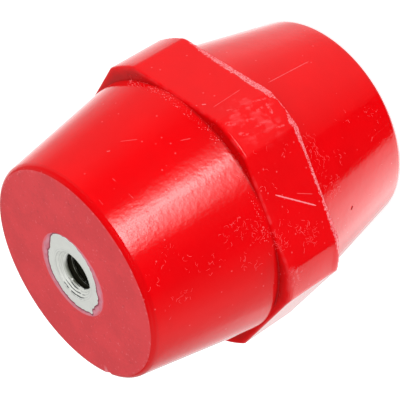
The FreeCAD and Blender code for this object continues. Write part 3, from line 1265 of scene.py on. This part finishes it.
def studio_world(settings):
    """White for the camera, an even light on the object, and panels mirrored in its gloss."""
    world = bpy.data.worlds.new("studio")
    world.use_nodes = True
    tree = world.node_tree
    tree.nodes.clear()
    direction = value_of(tree, "ShaderNodeTexCoord", result="Generated")
    path = values_of(tree, "ShaderNodeLightPath")
    shiny = most(path["Is Glossy Ray"], path["Is Transmission Ray"])
    level = mixed_number(shiny, settings.ambient, surroundings(direction))
    level = mixed_number(path["Is Camera Ray"], level, 1.0)
    light = value_of(tree, "ShaderNodeBackground", {"Color": (1, 1, 1, 1), "Strength": level})
    add(tree, "ShaderNodeOutputWorld", {"Surface": light})
    bpy.context.scene.world = world


def floor_material(settings):
    """Pale floor that reads white to the camera and keeps the object's shadow."""
    material, tree, shader = new_material("pale_floor")
    pale = settings.floor_colour
    base = mixed_colour(noise(object_place(tree), 60.0, 3.0), darker(pale, 0.985), pale)
    path = values_of(tree, "ShaderNodeLightPath")
    seen = most(path["Is Camera Ray"], most(path["Is Glossy Ray"], path["Is Transmission Ray"]))
    fill_in(shader, {
        "Base Color": base, "Roughness": 0.9, "Specular IOR Level": 0.0,
        "Emission Color": (1, 1, 1, 1),
        "Emission Strength": mixed_number(seen, settings.floor_bounce, settings.floor_glow)})
    return material


def direction_from(azimuth, elevation):
    """The direction at an azimuth and elevation in radians."""
    return Vector((math.cos(elevation) * math.cos(azimuth),
                   math.cos(elevation) * math.sin(azimuth), math.sin(elevation)))


def area_light(name, setting, power, aim):
    """A soft square light that looks at the object, set as (azimuth, elevation, distance, side)."""
    azimuth, elevation, distance, size = setting
    lamp = bpy.data.lights.new(name, "AREA")
    lamp.shape = "SQUARE"
    lamp.size = size
    lamp.energy = power
    light = bpy.data.objects.new(name, lamp)
    away = direction_from(math.radians(azimuth), math.radians(elevation))
    turned = away.to_track_quat("Z", "Y").to_matrix().to_4x4()
    light.matrix_world = Matrix.Translation(aim + away * distance) @ turned
    light.visible_glossy = False
    bpy.context.scene.collection.objects.link(light)


def photo_camera(settings):
    """The camera at the photograph's place, turn and lens."""
    camera = bpy.data.cameras.new("photo_camera")
    camera.lens = settings.lens
    camera.sensor_width = 36.0
    camera.clip_start = 0.01
    camera.clip_end = 10.0
    holder = bpy.data.objects.new("photo_camera", camera)
    back = direction_from(settings.azimuth, settings.elevation)
    level_up = (Vector((0, 0, 1)) - back * back.z).normalized()
    level_side = (-back).cross(level_up)
    camera_up = math.cos(settings.roll) * level_up + math.sin(settings.roll) * level_side
    camera_right = camera_up.cross(back)
    turned = Matrix((camera_right, camera_up, back)).transposed().to_4x4()
    place = Vector(settings.aim) + back * settings.distance
    holder.matrix_world = Matrix.Translation(place) @ turned
    bpy.context.scene.collection.objects.link(holder)
    bpy.context.scene.camera = holder


# Operators

class INSULATOR_OT_moulding(bpy.types.Operator):
    """Makes the red moulding, with its cones, collar, pockets and scraped parting edge"""
    bl_idname = "insulator.moulding"
    bl_label = "Moulded Body"
    bl_options = {"REGISTER", "UNDO"}

    def execute(self, context):
        moulding = context.scene.insulator_moulding
        insert = context.scene.insulator_insert
        body = section_piece("red_moulding_body", moulding_section(moulding, insert)[::-1],
                             ("collar", "knurled", "flash"))
        run_tree(body, "Double-cone moulding", moulding_tree, {
            **by_title(moulding, "steps_round", "across_flats", "across_corners", "corner_blend",
                       "scrape_depth", "scrape_raggedness", "flash_height", "chip_size"),
            **by_title(insert, "knurl_count", "knurl_depth"),
            "Collar Bottom": (moulding.height - moulding.collar_thickness) / 2,
            "Collar Top": (moulding.height + moulding.collar_thickness) / 2,
            "Material": moulding_material(moulding),
        })
        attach(body, "root")
        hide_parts("moulded_body")
        return {"FINISHED"}


class INSULATOR_OT_inserts(bpy.types.Operator):
    """Makes both threaded inserts"""
    bl_idname = "insulator.inserts"
    bl_label = "Threaded Inserts"
    bl_options = {"REGISTER", "UNDO"}

    def execute(self, context):
        insert = context.scene.insulator_insert
        height = context.scene.insulator_moulding.height
        upper = section_piece("upper_threaded_insert", insert_section(insert),
                              ("threaded", "knurled", "in_bore"))
        run_tree(upper, "Threaded insert", insert_tree, {
            **by_title(insert, "steps_round", "pitch", "crest_radius", "root_radius",
                       "knurl_count", "knurl_depth"),
            "Material": zinc_material(insert),
        })
        lower = bpy.data.objects.new("lower_threaded_insert", upper.data.copy())
        context.scene.collection.objects.link(lower)
        turn_over = Matrix.Translation((0, 0, height)) @ Matrix.Rotation(math.pi, 4, "X")
        lower.data.transform(turn_over)
        for piece, node in ((upper, "upper_insert"), (lower, "lower_insert")):
            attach(piece, "root")
            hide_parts(node)
        return {"FINISHED"}


class INSULATOR_OT_film(bpy.types.Operator):
    """Makes the ragged film of resin over the upper insert's rim"""
    bl_idname = "insulator.film"
    bl_label = "Resin Film"
    bl_options = {"REGISTER", "UNDO"}

    def execute(self, context):
        insert = context.scene.insulator_insert
        film = section_piece("upper_resin_film", film_section(insert), ())
        run_tree(film, "Resin film", film_tree, {
            "Steps Round": FILM_STEPS,
            "Outer Radius": insert.diameter / 2 + 0.03 * MM,
            "Raggedness": insert.film_ragged,
            "Material": film_material(insert),
        })
        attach(film, "root")
        return {"FINISHED"}


class INSULATOR_OT_marks(bpy.types.Operator):
    """Makes the fibre marks, the flecks at the cone's foot and the lint in the groove"""
    bl_idname = "insulator.marks"
    bl_label = "Surface Marks"
    bl_options = {"REGISTER", "UNDO"}

    def execute(self, context):
        marks = context.scene.insulator_marks
        moulding = context.scene.insulator_moulding
        body = bpy.data.objects["red_moulding_body"]
        foot = moulding.across_flats / 2 - moulding.flat_ledge
        ledge = (moulding.height + moulding.collar_thickness) / 2

        fibres = bpy.data.objects.new("fibre_marks", body.data.copy())
        context.scene.collection.objects.link(fibres)
        run_tree(fibres, "Fibre marks", fibre_tree, {
            "Density": marks.fibre_density,
            "Length": marks.fibre_length,
            "Thickness": marks.fibre_thickness,
            "Seed": marks.fibre_seed,
            "Height": moulding.height,
            "Material": mark_material("fibre_marks", marks.fibre_pale, marks.fibre_deep),
        })

        flecks = bpy.data.objects.new("foot_flecks", bpy.data.meshes.new("foot_flecks"))
        context.scene.collection.objects.link(flecks)
        run_tree(flecks, "Foot flecks", fleck_tree, {
            "Count": marks.fleck_count,
            "Foot Radius": foot,
            "Ledge Height": ledge,
            "Fleck Size": marks.fleck_size,
            "Seed": marks.fleck_seed,
            "Material": mark_material("foot_flecks", moulding.bruised, moulding.red),
        })

        # One strand lies in the groove from corner to flat, and a short one on the lower cone
        groove = [on_moulding(azimuth, ledge / MM + 0.10, foot / MM + 0.16)
                  for azimuth in range(136, 168, 4)]
        tick = [on_moulding(158.3 - 0.32 * step, 12.09 + 0.09 * step, 17.63 + 0.02 * step)
                for step in range(5)]
        material = mark_material("lint", marks.lint, marks.lint_deep)
        strands = []
        for name, path, thickness, wander in (("groove_lint", groove, 0.025, 0.20),
                                              ("cone_lint", tick, 0.085, 0.03)):
            strand = section_piece(name, path, ())
            strands.append(run_tree(strand, "Groove lint", lint_tree, {
                "Thickness": thickness * MM,
                "Wander": wander * MM,
                "Material": material,
            }))
        for piece in (fibres, flecks, *strands):
            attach(piece, "root")
        return {"FINISHED"}


class INSULATOR_OT_stage(bpy.types.Operator):
    """Sets the floor, the studio lights and the camera"""
    bl_idname = "insulator.stage"
    bl_label = "Stage"
    bl_options = {"REGISTER", "UNDO"}

    def execute(self, context):
        settings = context.scene.insulator_stage
        mesh = bpy.data.meshes.new("floor")
        turns = [TURN * step / FLOOR_STEPS for step in range(FLOOR_STEPS)]
        rim = [(settings.floor_radius * math.cos(turn), settings.floor_radius * math.sin(turn), 0.0)
               for turn in turns]
        mesh.from_pydata(rim, [], [list(range(FLOOR_STEPS))])
        mesh.materials.append(floor_material(settings))
        floor = bpy.data.objects.new("floor", mesh)
        floor.visible_glossy = False
        context.scene.collection.objects.link(floor)
        studio_world(settings)
        aim = Vector(settings.aim)
        area_light("key_light", KEY_LIGHT, settings.key_power, aim)
        area_light("fill_light", FILL_LIGHT, settings.fill_power, aim)
        photo_camera(settings)
        return {"FINISHED"}


OPERATORS = (INSULATOR_OT_moulding, INSULATOR_OT_inserts, INSULATOR_OT_film, INSULATOR_OT_marks,
             INSULATOR_OT_stage)


class INSULATOR_PT_panel(bpy.types.Panel):
    """Lists the insulator's pieces and their settings"""
    bl_label = "Busbar Insulator"
    bl_idname = "INSULATOR_PT_panel"
    bl_space_type = "VIEW_3D"
    bl_region_type = "UI"
    bl_category = "Insulator"

    def draw(self, context):
        for operator in OPERATORS:
            self.layout.operator(operator.bl_idname)
        for name in SETTINGS:
            settings = getattr(context.scene, name)
            box = self.layout.box()
            for key in settings.__annotations__:
                box.prop(settings, key)


SETTINGS = {
    "insulator_moulding": MouldingSettings,
    "insulator_insert": InsertSettings,
    "insulator_marks": MarkSettings,
    "insulator_stage": StageSettings,
}
CLASSES = (*SETTINGS.values(), *OPERATORS, INSULATOR_PT_panel)


def register():
    for made in CLASSES:
        bpy.utils.register_class(made)
    for name, kind in SETTINGS.items():
        setattr(bpy.types.Scene, name, PointerProperty(type=kind))


def unregister():
    for name in SETTINGS:
        delattr(bpy.types.Scene, name)
    for made in reversed(CLASSES):
        bpy.utils.unregister_class(made)


def main():
    """Makes every piece and the stage."""
    register()
    bpy.context.scene.view_settings.view_transform = "Standard"
    bpy.ops.insulator.moulding()
    bpy.ops.insulator.inserts()
    bpy.ops.insulator.film()
    bpy.ops.insulator.marks()
    bpy.ops.insulator.stage()


if __name__ == "__main__":
    main()
